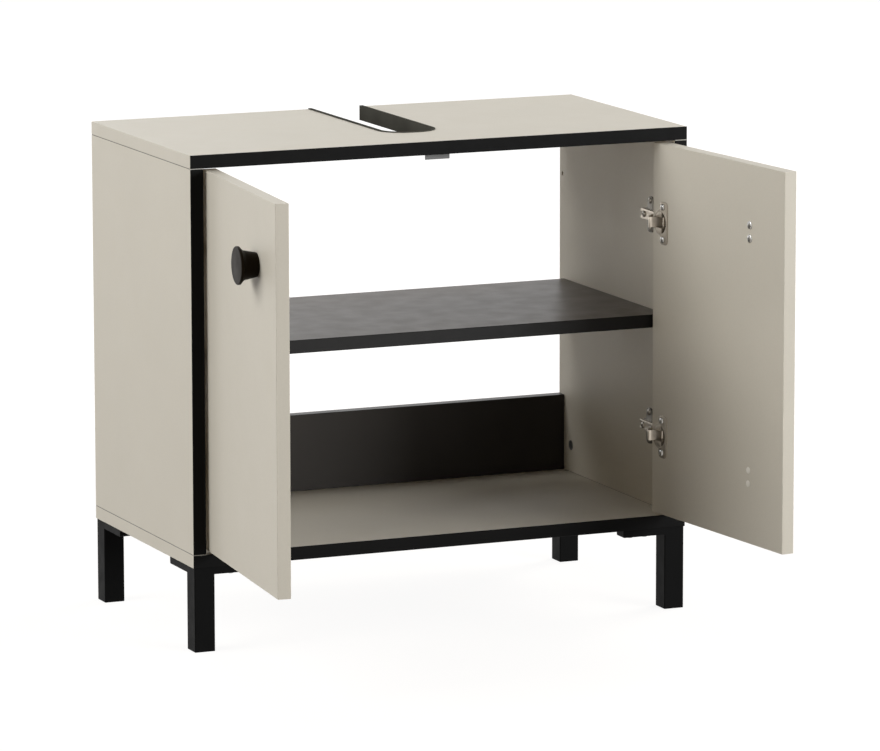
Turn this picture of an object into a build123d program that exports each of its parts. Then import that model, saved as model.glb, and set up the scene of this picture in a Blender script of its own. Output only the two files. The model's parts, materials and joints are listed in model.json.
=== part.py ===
"""Vanity base cabinet: a two-door bathroom cabinet on four legs, with a siphon cut-out in its top.

Millimetres. While it is modelled, X is 0 on the cabinet's middle plane, Y is 0 on its front face
and grows towards the wall, and Z is 0 on the floor. The left half is modelled with its door
closed, swung open about the hinge pins and mirrored for the right half. Everything is then moved
back by centre_y, so that the origin is the bottom centre of the cabinet with its doors open.
"""

from build123d import *
import os
from math import cos, hypot, radians, sin

# Carcass
width = 600.0
depth = 315.0
body_height = 460.0
panel = 15.0
edge_band = 1.0
easing = 0.5

# Siphon cut-out in the top
cutout_width = 60.0
cutout_depth = 233.0
cutout_radius = 25.0
edging_lip = 1.0
edging_lip_reach = 3.0

# Shelf
shelf_thickness = 15.0
shelf_clear_below = 214.0
shelf_front_setback = 20.0
shelf_back_setback = 15.0
shelf_end_gap = 0.5
shelf_pin_diameter = 5.0
shelf_pin_insert = 8.0
shelf_pin_reach = 9.0
shelf_pin_setback = 40.0

# Rear stretcher
stretcher_height = 90.0
stretcher_thickness = 15.0

# Legs
leg_height = 95.0
leg_side = 24.0
leg_inset = 1.0
leg_round = 1.2
flange_length = 76.0
flange_width = 18.0
flange_thickness = 8.0
flange_end_bevel = 1.0
flange_screws_from_end = (30.0, 12.0)

# Doors
door_thickness = 15.0
door_end_gap = 2.5
door_centre_gap = 3.0
door_round = 1.0
open_angle = 95.3

# Door stop under the top
stop_width = 29.0
stop_drop = 7.4
stop_plate = 2.0
stop_length = 15.0
stop_gap = 0.4
stop_round = 0.5
stop_screw_from_front = 9.0

# Knobs, and the spare holes that let a door be hung either way up
knob_from_free_edge = 71.9
knob_from_door_end = 75.0
knob_foot_diameter = 26.8
knob_neck_diameter = 32.0
knob_face_diameter = 41.4
knob_neck_length = 14.0
knob_length = 23.3
knob_rim = 2.8
knob_dome = 0.9
knob_round = 0.8
knob_flare_width_share = 0.35
knob_flare_length_share = 0.65
knob_crown_share = 0.75
knob_screw_spacing = 15.0
knob_thread_depth = 12.0
cap_diameter = 7.4
cap_height = 0.9
cap_round = 0.6
cap_stem = 5.0
cap_stem_length = 7.0

# Concealed hinges, measured on the door's inner face
hinge_from_door_end = 90.0
pin_inset = 8.3
pin_below_face = 8.5
pin_diameter = 2.0
swing_clearance = 0.26
cup_diameter = 26.0
cup_edge_distance = 3.5
cup_depth = 11.1
cup_wall = 0.7
cup_rim = 1.3
cup_flange_width = 17.0
cup_flange_height = 49.0
cup_flange_offset = 7.0
cup_flange_thickness = 1.0
cup_flange_round = 5.0
cup_screw_offset = 5.5
cup_screw_spacing = 37.0
cheek_past_pin = 11.0
pin_seat = 2.0
knuckle_wall = 0.6
pin_running_gap = 0.05
cheek_gap = 0.3
hook_gap = 3.7
hook_root_angle = 3.0
arm_thickness = 1.8
arm_width = 11.6
arm_bend = 3.0
arm_back = 77.0
leaf_thickness = 0.5
leaf_width = 8.0
leaf_length = 15.0
leaf_gap = 0.6
leaf_round = 2.0

# Mounting plates on the sides
plate_height = 4.5
plate_front = 36.0
plate_body_width = 13.0
plate_round = 1.0
wing_centre = 61.0
wing_width = 14.0
wing_height = 41.0
wing_thickness = 2.0
wing_round = 4.0
wing_screw_spacing = 32.0
arm_screw_place = 68.0
adjuster_place = 47.0

# Screws: shank diameter, length under the head, head diameter and head height
leg_screw = (4.0, 18.0, 7.5, 2.0)
cup_screw = (3.5, 10.0, 7.4, 2.0)
wing_screw = (5.0, 11.0, 7.0, 1.8)
arm_screw = (4.0, 5.0, 7.5, 2.0)
adjuster = (4.0, 3.6, 5.5, 1.5)
stop_screw = (3.5, 12.0, 6.5, 1.2)
knob_screw_shank = 4.0
knob_screw_head = 9.2
knob_screw_head_height = 2.0
screw_fit = 0.05
drive_width = 0.8
drive_share = 0.62
head_round_share = 0.6

# Cam fittings and dowels
cam_diameter = 12.0
cam_depth = 10.5
cam_from_edge = 32.0
cam_from_back = 33.3
bolt_diameter = 5.0
bolt_anchor = 11.0
bolt_head_past_cam = 1.5
bolt_gap = 0.3
cam_cap_diameter = 14.0
cam_cap_height = 1.0
cam_cap_round = 0.6
dowel_diameter = 8.0
dowel_length = 30.0
dowel_in_face = 10.0
dowel_from_cam = 48.0
dowel_edge_distance = 25.0
fixing_hole_diameter = 5.0
fixing_hole_depth = 8.0
fixing_hole_from_back = 8.0
fixing_hole_below_top = 77.0

# How far a cutting shape runs past the material that it cuts
cut_margin = 15.0

# Levels and planes that follow
base = leg_height
floor_panel_top = base + panel
ceiling = base + body_height - panel
top = base + body_height
side_outer = -width / 2
side_inner = side_outer + panel
shelf_bottom = floor_panel_top + shelf_clear_below
shelf_top = shelf_bottom + shelf_thickness
shelf_front = shelf_front_setback
shelf_back = depth - shelf_back_setback

# The hinge axis and the gap beside the door that its swing needs
pin_y = door_thickness - pin_below_face
outer_corner_reach = hypot(pin_inset, pin_y)
inner_corner_reach = hypot(pin_inset, pin_below_face)
door_side_gap = outer_corner_reach - pin_inset + swing_clearance
hinge_edge = side_inner + door_side_gap
pin_x = hinge_edge + pin_inset
free_edge = -door_centre_gap / 2
door_bottom = floor_panel_top + door_end_gap
door_top = ceiling - door_end_gap
hinge_levels = {"lower": door_bottom + hinge_from_door_end, "upper": door_top - hinge_from_door_end}
cup_x = hinge_edge + cup_edge_distance + cup_diameter / 2
cup_bottom = door_thickness - cup_depth
flange_screw_places = [flange_length - shift for shift in flange_screws_from_end]
hook_radius = inner_corner_reach + hook_gap + arm_thickness / 2
arm_x = side_inner + plate_height + arm_thickness / 2
knob_x = free_edge - knob_from_free_edge
knob_z = door_top - knob_from_door_end
spare_z = door_bottom + knob_from_door_end

INTO_LEFT_SIDE = Vector(-1, 0, 0)
INTO_DOOR = Vector(0, -1, 0)
UP = Vector(0, 0, 1)
DOWN = Vector(0, 0, -1)
BACK = Vector(0, 1, 0)
MIDDLE_PLANE = Plane.YZ
FRONT_TO_BACK = Plane(origin=(0, depth / 2, 0), z_dir=(0, 1, 0))


def block(x, y, z):
    """Box between two values on each axis."""
    size = [high - low for low, high in (x, y, z)]
    corner = (Align.MIN, Align.MIN, Align.MIN)
    return Pos(x[0], y[0], z[0]) * Box(*size, align=corner)


def board(x, y, z, banded_front=False):
    """Panel with its edges eased, all but those that a band covers at the front."""
    shape = block(x, y, z)
    edges = shape.edges()
    if banded_front:
        edges = edges.filter_by(lambda edge: edge.center().Y > y[0] + easing)
    return chamfer(edges, easing)


def band(x, z, front):
    """Strip glued on a front edge, eased on all edges but those against the panel."""
    shape = block(x, (front, front + edge_band), z)
    edges = shape.edges().filter_by(lambda edge: edge.center().Y < front + edge_band - easing)
    return chamfer(edges, easing)


def rod(start, direction, radius, length):
    """Cylinder from a point along a direction."""
    place = Plane(origin=start, z_dir=direction)
    return place * Cylinder(radius, length, align=(Align.CENTER, Align.CENTER, Align.MIN))


def screw(seat, into, sizes):
    """Round-headed screw with a crossed drive: its head sits on seat, its shank runs into."""
    shank, length, head, head_height = sizes
    out = into * -1
    face = seat + out * head_height
    cap = rod(seat, out, head / 2, head_height)
    rim = cap.faces().sort_by(Axis(seat, out))[-1].edges()
    cap = fillet(rim, head_height * head_round_share)
    slot = Box(head * drive_share, drive_width, head_height)
    cross = slot + Rot(0, 0, 90) * slot
    return cap + rod(seat, into, shank / 2, length) - Plane(origin=face, z_dir=out) * cross


def screw_hole(seat, into, sizes):
    """Hole that a screw's shank fills, with the screw fit round it."""
    shank, length, _, _ = sizes
    return rod(seat, into, shank / 2 + screw_fit, length + screw_fit)


def mirrored(shape):
    """The same shape on the cabinet's right half."""
    return mirror(shape, about=MIDDLE_PLANE)


def swung(shape):
    """A piece of the closed left door, moved to the open position."""
    return shape.rotate(Axis((pin_x, pin_y, 0), (0, 0, 1)), -open_angle)


def both_sides(shapes):
    """Left shapes followed by their mirror images."""
    return list(shapes) + [mirrored(shape) for shape in shapes]


# Places that repeat
cam_places_y = (cam_from_back, depth - cam_from_back)
dowel_places_y = (cam_from_back + dowel_from_cam, depth - cam_from_back - dowel_from_cam)
stretcher_y = depth - stretcher_thickness / 2
stretcher_dowel_levels = (
    floor_panel_top + dowel_edge_distance,
    floor_panel_top + stretcher_height - dowel_edge_distance,
)
shelf_pin_places_y = (shelf_front + shelf_pin_setback, shelf_back - shelf_pin_setback)
shelf_pin_z = shelf_bottom - shelf_pin_diameter / 2
wing_screw_offsets = (-wing_screw_spacing / 2, wing_screw_spacing / 2)
cup_screw_offsets = (-cup_screw_spacing / 2, cup_screw_spacing / 2)
knob_screw_offsets = (-knob_screw_spacing / 2, knob_screw_spacing / 2)
side_middle = side_outer + panel / 2


def cam_fitting(y, edge_z, inward):
    """Cam, its bolt and its two bores for one side panel's joint with the top or the bottom."""
    cam_z = edge_z + inward.Z * cam_from_edge
    bore_start = Vector(side_inner, y, cam_z)
    edge_point = Vector(side_middle, y, edge_z)
    bolt_length = cam_from_edge + bolt_head_past_cam
    bolt_hole = rod(edge_point, inward, bolt_diameter / 2 + bolt_gap, bolt_length + bolt_gap)
    anchor_hole = rod(edge_point, inward * -1, bolt_diameter / 2 + screw_fit, bolt_anchor)
    bolt = rod(edge_point - inward * bolt_anchor, inward, bolt_diameter / 2, bolt_anchor + bolt_length)
    cam_bore = rod(bore_start, INTO_LEFT_SIDE, cam_diameter / 2 + screw_fit, cam_depth)
    slot = Box(cam_diameter * drive_share, drive_width, 2 * drive_width)
    cross = Plane(origin=bore_start, z_dir=(1, 0, 0)) * (slot + Rot(0, 0, 90) * slot)
    cam = rod(bore_start, INTO_LEFT_SIDE, cam_diameter / 2, cam_depth) - bolt_hole - cross
    return {"cam": cam, "bolt": bolt, "side_bores": [cam_bore, bolt_hole], "panel_bore": anchor_hole}


bottom_cams = [cam_fitting(y, floor_panel_top, UP) for y in cam_places_y]
top_cams = [cam_fitting(y, ceiling, DOWN) for y in cam_places_y]


def edge_dowel(point, into_face):
    """Dowel across a joint, deep in an edge and shallow in a face, with the bore that it fills."""
    start = point + into_face * dowel_in_face
    bore_start = start + into_face * screw_fit
    bore_length = dowel_length + 2 * screw_fit
    dowel = rod(start, into_face * -1, dowel_diameter / 2, dowel_length)
    rims = dowel.edges().filter_by(GeomType.CIRCLE)
    bore = rod(bore_start, into_face * -1, dowel_diameter / 2 + screw_fit, bore_length)
    return {"dowel": chamfer(rims, easing), "bore": bore}


bottom_dowels = [edge_dowel(Vector(side_middle, y, floor_panel_top), DOWN) for y in dowel_places_y]
top_dowels = [edge_dowel(Vector(side_middle, y, ceiling), UP) for y in dowel_places_y]
stretcher_dowels = [
    edge_dowel(Vector(side_inner, stretcher_y, z), INTO_LEFT_SIDE) for z in stretcher_dowel_levels
]


def cutout(margin):
    """The siphon cut-out's space, made wider all round by a margin and run past the back."""
    half = cutout_width / 2 + margin
    front = depth - cutout_depth - margin
    space = block(
        (-half, half), (front, depth + cut_margin), (ceiling - cut_margin, top + cut_margin)
    )
    corners = space.edges().filter_by(Axis.Z).group_by(Axis.Y)[0]
    return fillet(corners, cutout_radius + margin)


# Top, with its cut-out and its bands
stop_front = door_thickness + stop_gap
stop_screw_seat = Vector(0, stop_front + stop_screw_from_front, ceiling - stop_plate)
top_panel = board((side_outer, -side_outer), (edge_band, depth), (ceiling, top), banded_front=True)
top_panel -= cutout(edge_band)
for hole in [fitting["panel_bore"] for fitting in top_cams] + [pair["bore"] for pair in top_dowels]:
    top_panel -= hole + mirrored(hole)
top_panel -= screw_hole(stop_screw_seat, UP, stop_screw)
top_front_band = band((side_outer, -side_outer), (ceiling, top), 0)

# Clip-on edging of the cut-out: a web on the cut edge between two lips on the top's faces
edging_height = (ceiling - edging_lip, top + edging_lip)
lipped = edge_band + edging_lip_reach
cutout_band = (cutout(lipped) - cutout(0)) & block((-width, width), (0, depth), edging_height)
cutout_band -= block((-width, width), (0, depth), (ceiling, top)) - cutout(edge_band)

# Sides
fixing_hole_start = Vector(side_inner, depth - fixing_hole_from_back, ceiling - fixing_hole_below_top)
left_side = board(
    (side_outer, side_inner), (edge_band, depth), (floor_panel_top, ceiling), banded_front=True
)
side_holes = [bore for fitting in bottom_cams + top_cams for bore in fitting["side_bores"]]
side_holes += [pair["bore"] for pair in bottom_dowels + top_dowels + stretcher_dowels]
shelf_pin_bore = shelf_pin_diameter / 2 + screw_fit
side_holes += [
    rod(Vector(side_inner, y, shelf_pin_z), INTO_LEFT_SIDE, shelf_pin_bore, shelf_pin_insert)
    for y in shelf_pin_places_y
]
side_holes += [
    screw_hole(Vector(side_inner + wing_thickness, wing_centre, z + shift), INTO_LEFT_SIDE, wing_screw)
    for z in hinge_levels.values()
    for shift in wing_screw_offsets
]
side_holes.append(rod(fixing_hole_start, INTO_LEFT_SIDE, fixing_hole_diameter / 2, fixing_hole_depth))
for hole in side_holes:
    left_side -= hole
left_side_band = band((side_outer, side_inner), (floor_panel_top, ceiling), 0)

# Bottom
bottom_panel = board(
    (side_outer, -side_outer), (edge_band, depth), (base, floor_panel_top), banded_front=True
)
for hole in [fitting["panel_bore"] for fitting in bottom_cams] + [pair["bore"] for pair in bottom_dowels]:
    bottom_panel -= hole + mirrored(hole)
bottom_front_band = band((side_outer, -side_outer), (base, floor_panel_top), 0)

# Rear stretcher between the sides, standing on the bottom
rear_stretcher = board(
    (side_inner, -side_inner),
    (depth - stretcher_thickness, depth),
    (floor_panel_top, floor_panel_top + stretcher_height),
)
for pair in stretcher_dowels:
    rear_stretcher -= pair["bore"] + mirrored(pair["bore"])

# Shelf on four pins
shelf_end = side_inner + shelf_end_gap
shelf = board(
    (shelf_end, -shelf_end),
    (shelf_front + edge_band, shelf_back),
    (shelf_bottom, shelf_top),
    banded_front=True,
)
shelf_band = band((shelf_end, -shelf_end), (shelf_bottom, shelf_top), shelf_front)
shelf_pins = []
for y in shelf_pin_places_y:
    start = Vector(side_inner - shelf_pin_insert + screw_fit, y, shelf_pin_z)
    length = shelf_pin_insert - screw_fit + shelf_pin_reach
    pin = rod(start, INTO_LEFT_SIDE * -1, shelf_pin_diameter / 2, length)
    shelf_pins.append(chamfer(pin.edges().filter_by(GeomType.CIRCLE), easing))

# Front left leg: a square post under a flange of two arms, screwed up into the bottom
leg_x = side_outer + leg_inset
leg_y = leg_inset
flange_bottom = base - flange_thickness
arm_outline = Polyline(
    (leg_x, leg_y),
    (leg_x + flange_length, leg_y),
    (leg_x + flange_length, leg_y + flange_width),
    (leg_x + flange_width, leg_y + flange_width),
    (leg_x + flange_width, leg_y + flange_length),
    (leg_x, leg_y + flange_length),
    close=True,
)
flange_face = make_face(arm_outline)
flange = extrude(Pos(0, 0, flange_bottom) * flange_face, flange_thickness)
end_edges = [
    flange.edges().filter_by(Axis.Y).sort_by(Axis.X)[-2:].sort_by(Axis.Z)[0],
    flange.edges().filter_by(Axis.X).sort_by(Axis.Y)[-2:].sort_by(Axis.Z)[0],
]
flange = chamfer(end_edges, flange_end_bevel)
post = block((leg_x, leg_x + leg_side), (leg_y, leg_y + leg_side), (0, base))
leg = post + flange
corner_edges = leg.edges().filter_by(Axis.Z).filter_by(lambda edge: edge.length > leg_height / 2)
leg = fillet(corner_edges, leg_round)
foot_edges = leg.faces().sort_by(Axis.Z)[0].edges()
leg = chamfer(foot_edges, easing)
flange_middle = flange_width / 2
leg_screw_seats = [Vector(leg_x + at, leg_y + flange_middle, flange_bottom) for at in flange_screw_places]
leg_screw_seats += [Vector(leg_x + flange_middle, leg_y + at, flange_bottom) for at in flange_screw_places]
leg_screws = []
for seat in leg_screw_seats:
    hole = screw_hole(seat, UP, leg_screw)
    leg -= hole
    leg_screws.append(screw(seat, UP, leg_screw))
    bottom_panel -= hole + mirrored(hole)
    rear_hole = mirror(hole, about=FRONT_TO_BACK)
    bottom_panel -= rear_hole + mirrored(rear_hole)
rear_leg = mirror(leg, about=FRONT_TO_BACK)
leg_screws += [mirror(one, about=FRONT_TO_BACK) for one in leg_screws]

# Door stop: a small angle under the top, which both doors close against
stop_x = (-stop_width / 2, stop_width / 2)
stop_flat = block(stop_x, (stop_front, stop_front + stop_length), (ceiling - stop_plate, ceiling))
stop_lip = block(stop_x, (stop_front, stop_front + stop_plate), (ceiling - stop_drop, ceiling))
door_stop = stop_flat + stop_lip
lip_edges = door_stop.edges().filter_by(Axis.X).group_by(Axis.Z)[0]
door_stop = fillet(lip_edges, stop_round)
door_stop -= screw_hole(stop_screw_seat, UP, stop_screw)
door_stop_screw = screw(stop_screw_seat, UP, stop_screw)

# Left door, closed
door = block((hinge_edge, free_edge), (0, door_thickness), (door_bottom, door_top))
hinge_side_edge = door.edges().filter_by(Axis.Z).sort_by(Axis.X)[:2].sort_by(Axis.Y)[0]
door = fillet(hinge_side_edge, door_round)
face_edges = door.edges().filter_by(lambda edge: edge.length > 2 * door_thickness)
sharp_edges = face_edges.filter_by(lambda edge: edge.center().X > hinge_edge + 2 * door_round)
door = chamfer(sharp_edges, easing)


def knob_body():
    """Turned knob on the door's outer face: a tapered neck that flares to a slightly domed face."""
    foot = knob_foot_diameter / 2
    neck = knob_neck_diameter / 2
    face = knob_face_diameter / 2
    rim_back = knob_length - knob_dome - knob_rim
    rim_front = knob_length - knob_dome
    flare_middle = (
        neck + (face - neck) * knob_flare_width_share,
        knob_neck_length + (rim_back - knob_neck_length) * knob_flare_length_share,
    )
    crown_middle = (face / 2, rim_front + knob_dome * knob_crown_share)
    axis_end = (0, knob_length)
    outline = Polyline((0, 0), (foot, 0), (neck, knob_neck_length))
    outline += ThreePointArc((neck, knob_neck_length), flare_middle, (face, rim_back))
    outline += Line((face, rim_back), (face, rim_front))
    outline += ThreePointArc((face, rim_front), crown_middle, axis_end)
    outline += Line(axis_end, (0, 0))
    profile = make_face(outline)
    body = revolve(profile, Axis.Y)
    rims = body.edges().filter_by(GeomType.CIRCLE).sort_by(Axis.Y)
    body = fillet([rims[0], rims[-1], rims[-2]], knob_round)
    return Pos(knob_x, 0, knob_z) * Rot(0, 0, 180) * body


knob = knob_body()
knob_screws = []
knob_screw_sizes = (
    knob_screw_shank, door_thickness + knob_thread_depth, knob_screw_head, knob_screw_head_height
)
hole_caps = []
for shift in knob_screw_offsets:
    seat = Vector(knob_x, door_thickness, knob_z + shift)
    hole = screw_hole(seat, INTO_DOOR, knob_screw_sizes)
    door -= hole
    knob -= hole
    knob_screws.append(screw(seat, INTO_DOOR, knob_screw_sizes))
    spare = Vector(knob_x, door_thickness, spare_z + shift)
    stem = rod(spare, INTO_DOOR, cap_stem / 2, cap_stem_length)
    lid = rod(spare, BACK, cap_diameter / 2, cap_height)
    lid = fillet(lid.faces().sort_by(Axis.Y)[-1].edges(), cap_round)
    hole_caps.append(lid + stem)
    door -= rod(spare, INTO_DOOR, cap_stem / 2 + screw_fit, cap_stem_length + screw_fit)


def hinge_cup(level):
    """Pressed cup with its flange and the two cheeks that hold the pin beside the arm."""
    radius = cup_diameter / 2
    centre = Vector(cup_x, cup_bottom, level)
    face = Vector(cup_x, door_thickness, level)
    shell = rod(centre, BACK, radius, cup_depth)
    rim = rod(face, BACK, radius + cup_rim, cup_flange_thickness)
    flange_x = cup_x + cup_flange_offset
    flange_sketch = Plane(origin=(flange_x, door_thickness, level), x_dir=(1, 0, 0), z_dir=BACK) * (
        RectangleRounded(cup_flange_width, cup_flange_height, cup_flange_round)
    )
    flange_plate = extrude(flange_sketch, cup_flange_thickness)
    hollow_depth = cup_depth + cup_flange_thickness - cup_wall
    hollow = rod(centre + BACK * cup_wall, BACK, radius - cup_wall, hollow_depth)
    half_span = arm_width / 2 + cheek_gap
    cheeks = block(
        (hinge_edge, pin_x + cheek_past_pin),
        (cup_bottom + cup_wall / 2, door_thickness + cup_flange_thickness),
        (level - radius, level + radius),
    )
    cheeks -= block(
        (hinge_edge, pin_x + cheek_past_pin),
        (0, door_thickness + cut_margin),
        (level - half_span, level + half_span),
    )
    cheeks &= rod(centre, BACK, radius - cup_wall / 2, cup_depth + cup_flange_thickness)
    cup = shell + rim + flange_plate - hollow + cheeks
    for shift in cup_screw_offsets:
        cup -= screw_hole(cup_screw_seat(level + shift), INTO_DOOR, cup_screw)
    return cup - pin_rod(level, 0)


def cup_screw_seat(z):
    """Where a cup screw's head sits, on the flange."""
    return Vector(cup_x + cup_screw_offset, door_thickness + cup_flange_thickness, z)


def pin_rod(level, extra):
    """The hinge pin, or a bore round it when it is made larger by extra."""
    half = arm_width / 2 + cheek_gap + pin_seat
    return rod(Vector(pin_x, pin_y, level - half), UP, pin_diameter / 2 + extra, 2 * half)


def hinge_arm(level):
    """Fixed arm: a knuckle on the pin, a hook round the door's inner edge and a flat tail."""
    root = radians(hook_root_angle)
    knuckle_radius = pin_diameter / 2 + pin_running_gap + knuckle_wall
    root_end = (pin_x + hook_radius * cos(root), pin_y + hook_radius * sin(root))
    hook_top = (pin_x, pin_y + hook_radius)
    hook_middle = (
        pin_x + hook_radius * cos((root + radians(90)) / 2),
        pin_y + hook_radius * sin((root + radians(90)) / 2),
    )
    bend_start = (arm_x + arm_bend, hook_top[1])
    bend_middle = (
        arm_x + arm_bend * (1 - sin(radians(45))),
        hook_top[1] + arm_bend * (1 - cos(radians(45))),
    )
    bend_end = (arm_x, hook_top[1] + arm_bend)
    tail_end = (arm_x, arm_back)
    centre_line = Line((pin_x, pin_y), root_end)
    outer_line = ThreePointArc(root_end, hook_middle, hook_top)
    outer_line += Line(hook_top, bend_start)
    outer_line += ThreePointArc(bend_start, bend_middle, bend_end)
    outer_line += Line(bend_end, tail_end)
    strip = trace(centre_line, arm_thickness) + trace(outer_line, arm_thickness)
    strip += Pos(*root_end) * Circle(arm_thickness / 2)
    strip += Pos(pin_x, pin_y) * Circle(knuckle_radius)
    arm = extrude(Pos(0, 0, level - arm_width / 2) * strip, arm_width)
    arm -= pin_rod(level, pin_running_gap)
    for place, sizes in ((arm_screw_place, arm_screw), (adjuster_place, adjuster)):
        arm -= screw_hole(arm_screw_seat(place, level), INTO_LEFT_SIDE, sizes)
    return arm


def arm_screw_seat(y, level):
    """Where an arm screw's head sits, on the arm's tail."""
    return Vector(arm_x + arm_thickness / 2, y, level)


def leaf_spring(level):
    """Flat closing spring on the cup's bottom, which presses on the knuckle."""
    start = pin_x + pin_diameter / 2 + knuckle_wall + leaf_gap
    low = cup_bottom + cup_wall + pin_running_gap
    half = leaf_width / 2
    leaf = block((start, start + leaf_length), (low, low + leaf_thickness), (level - half, level + half))
    ends = leaf.edges().filter_by(Axis.Y)
    return fillet(ends, leaf_round)


def mounting_plate(level):
    """Cross-shaped plate on the side panel, which carries the hinge arm."""
    half = plate_body_width / 2
    body = block(
        (side_inner, side_inner + plate_height), (plate_front, arm_back), (level - half, level + half)
    )
    body = fillet(body.edges().filter_by(Axis.X), plate_round)
    wing_sketch = Plane(origin=(side_inner, wing_centre, level), x_dir=BACK, z_dir=(1, 0, 0)) * (
        RectangleRounded(wing_width, wing_height, wing_round)
    )
    plate = body + extrude(wing_sketch, wing_thickness)
    for shift in wing_screw_offsets:
        plate -= screw_hole(wing_screw_seat(level + shift), INTO_LEFT_SIDE, wing_screw)
    for place, sizes in ((arm_screw_place, arm_screw), (adjuster_place, adjuster)):
        plate -= screw_hole(arm_screw_seat(place, level), INTO_LEFT_SIDE, sizes)
    return plate


def wing_screw_seat(z):
    """Where a mounting plate's screw head sits, on the wing."""
    return Vector(side_inner + wing_thickness, wing_centre, z)


cup_screws = []
wing_screws = []
arm_screws = []
hinges = {}
for name, level in hinge_levels.items():
    hinges[name] = {
        "hinge_cup": swung(hinge_cup(level)),
        "hinge_pin": swung(pin_rod(level, 0)),
        "hinge_spring": swung(leaf_spring(level)),
        "hinge_arm": hinge_arm(level),
        "mounting_plate": mounting_plate(level),
    }
    bore_start = Vector(cup_x, door_thickness, level)
    door -= rod(bore_start, INTO_DOOR, cup_diameter / 2 + screw_fit, cup_depth)
    for shift in cup_screw_offsets:
        seat = cup_screw_seat(level + shift)
        door -= screw_hole(seat, INTO_DOOR, cup_screw)
        cup_screws.append(screw(seat, INTO_DOOR, cup_screw))
    for shift in wing_screw_offsets:
        wing_screws.append(screw(wing_screw_seat(level + shift), INTO_LEFT_SIDE, wing_screw))
    for place, sizes in ((arm_screw_place, arm_screw), (adjuster_place, adjuster)):
        arm_screws.append(screw(arm_screw_seat(place, level), INTO_LEFT_SIDE, sizes))

# Cover caps on the cams under the top, which stay out of sight
cam_caps = []
for fitting, y in zip(top_cams, cam_places_y):
    start = Vector(side_inner, y, ceiling - cam_from_edge)
    cap = rod(start, INTO_LEFT_SIDE * -1, cam_cap_diameter / 2, cam_cap_height)
    cam_caps.append(fillet(cap.faces().sort_by(Axis.X)[-1].edges(), cam_cap_round))

# Every node, as a list of its solids
nodes = {
    "top_panel": [top_panel],
    "top_front_edge_band": [top_front_band],
    "top_cutout_edge_band": [cutout_band],
    "left_side_panel": [left_side],
    "right_side_panel": [mirrored(left_side)],
    "left_side_front_edge_band": [left_side_band],
    "right_side_front_edge_band": [mirrored(left_side_band)],
    "bottom_panel": [bottom_panel],
    "bottom_front_edge_band": [bottom_front_band],
    "rear_stretcher": [rear_stretcher],
    "shelf": [shelf],
    "shelf_front_edge_band": [shelf_band],
    "shelf_pins": both_sides(shelf_pins),
    "front_left_leg": [leg],
    "front_right_leg": [mirrored(leg)],
    "rear_left_leg": [rear_leg],
    "rear_right_leg": [mirrored(rear_leg)],
    "leg_screws": both_sides(leg_screws),
    "door_stop": [door_stop],
    "door_stop_screw": [door_stop_screw],
    "mounting_plate_screws": both_sides(wing_screws),
    "arm_fixing_screws": both_sides(arm_screws),
    "cam_locks": both_sides([fitting["cam"] for fitting in bottom_cams + top_cams]),
    "cam_bolts": both_sides([fitting["bolt"] for fitting in bottom_cams + top_cams]),
    "cam_cover_caps": both_sides(cam_caps),
    "panel_dowels": both_sides(
        [pair["dowel"] for pair in bottom_dowels + top_dowels + stretcher_dowels]
    ),
}
left_door_group = {
    "door": [door],
    "knob": [knob],
    "knob_screws": knob_screws,
    "door_hole_caps": hole_caps,
    "hinge_cup_screws": cup_screws,
}
for name, solids in left_door_group.items():
    open_solids = [swung(solid) for solid in solids]
    nodes["left_" + name] = open_solids
    nodes["right_" + name] = [mirrored(solid) for solid in open_solids]
for level_name, pieces in hinges.items():
    for name, solid in pieces.items():
        nodes[f"left_{level_name}_{name}"] = [solid]
        nodes[f"right_{level_name}_{name}"] = [mirrored(solid)]

# The origin stands half way between the open doors' front reach and the back
boxes = [solid.bounding_box() for solids in nodes.values() for solid in solids]
front_reach = min(box.min.Y for box in boxes)
back_reach = max(box.max.Y for box in boxes)
centre_y = (front_reach + back_reach) / 2
to_origin = Pos(0, -centre_y, 0)

os.makedirs("parts", exist_ok=True)
for name, solids in nodes.items():
    placed = [to_origin * solid for solid in solids]
    shape = placed[0] if len(placed) == 1 else Compound(children=placed)
    export_step(shape, f"parts/{name}.step")

print("nodes", len(nodes))
print("centre_y", round(centre_y, 4))
print("left hinge axis", round(pin_x, 4), round(pin_y - centre_y, 4))
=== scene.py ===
import json
import logging
import math
from dataclasses import dataclass, replace
from enum import Enum

import bmesh
import bpy
from mathutils import Matrix, Vector


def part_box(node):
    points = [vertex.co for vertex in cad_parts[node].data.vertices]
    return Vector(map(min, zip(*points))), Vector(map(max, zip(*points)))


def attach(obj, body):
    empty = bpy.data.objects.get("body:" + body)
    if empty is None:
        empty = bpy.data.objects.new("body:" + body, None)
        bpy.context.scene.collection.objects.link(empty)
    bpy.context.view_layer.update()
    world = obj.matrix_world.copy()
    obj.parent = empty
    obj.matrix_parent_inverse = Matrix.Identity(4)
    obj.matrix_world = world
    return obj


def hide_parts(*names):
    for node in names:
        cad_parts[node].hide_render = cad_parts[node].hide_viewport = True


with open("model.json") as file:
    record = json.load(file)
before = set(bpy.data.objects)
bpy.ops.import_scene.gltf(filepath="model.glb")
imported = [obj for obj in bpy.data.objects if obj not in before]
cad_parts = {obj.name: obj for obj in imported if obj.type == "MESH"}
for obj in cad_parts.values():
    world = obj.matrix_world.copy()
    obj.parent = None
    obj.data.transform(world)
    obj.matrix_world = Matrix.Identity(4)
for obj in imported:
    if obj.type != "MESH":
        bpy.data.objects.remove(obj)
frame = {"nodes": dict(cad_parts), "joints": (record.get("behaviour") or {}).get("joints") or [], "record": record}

MM = 0.001
log = logging.getLogger("vanity_cabinet")

Colour = tuple[float, float, float]
Point = tuple[float, float, float]
Range = tuple[float, float]
Spot = tuple[float, float]
Profile = list[Spot]
Socket = bpy.types.NodeSocket
Material = bpy.types.Material


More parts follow.
